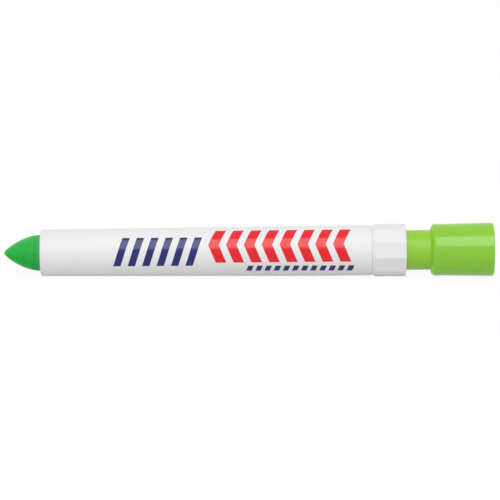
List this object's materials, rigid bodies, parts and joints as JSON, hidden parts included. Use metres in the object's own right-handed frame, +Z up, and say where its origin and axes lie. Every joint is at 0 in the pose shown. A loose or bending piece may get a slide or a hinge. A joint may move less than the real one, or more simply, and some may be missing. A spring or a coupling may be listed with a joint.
{
  "type": "solid paint marker",
  "caption": "Twist-up solid paint marker: round white barrel, pointed green paint stick, faceted knob that turns a lead screw, and a stepped green cap posted on the back.",
  "frame": {"origin": "on the surface that the marker lies on, under the middle of its length", "axes": "+X along the marker's axis from the paint tip to the cap's rim, +Z up"},
  "size_m": [0.1536, 0.0168, 0.0168],
  "materials": {
    "barrel_white": "satin moulded, printed",
    "knob_white": "satin moulded",
    "cap_green": "satin moulded",
    "paint_green": "waxy solid paint",
    "carrier_white": "plain moulded",
    "screw_white": "plain moulded"
  },
  "bodies": {
    "barrel": {"barrel": "barrel_white"},
    "knob": {"twist_knob": "knob_white", "lead_screw": "screw_white"},
    "stick": {"stick_carrier": "carrier_white", "paint_stick": "paint_green"},
    "cap": {"cap": "cap_green"}
  },
  "joints": [
    {"name": "knob_twist", "type": "hinge", "parent": "barrel", "child": "knob", "pos_m": [0.0436, 0, 0.00842], "axis": [-1, 0, 0], "range_deg": [-720, 3420]},
    {"name": "stick_advance", "type": "slide", "parent": "barrel", "child": "stick", "axis": [-1, 0, 0], "range_m": [-0.012, 0.057]},
    {"name": "cap_pull", "type": "slide", "parent": "knob", "child": "cap", "axis": [1, 0, 0], "range_m": [0, 0.012]}
  ],
  "couplings": [
    {"joint": "knob_twist", "follows": "stick_advance", "rad_per_m": 1047.2}
  ]
}
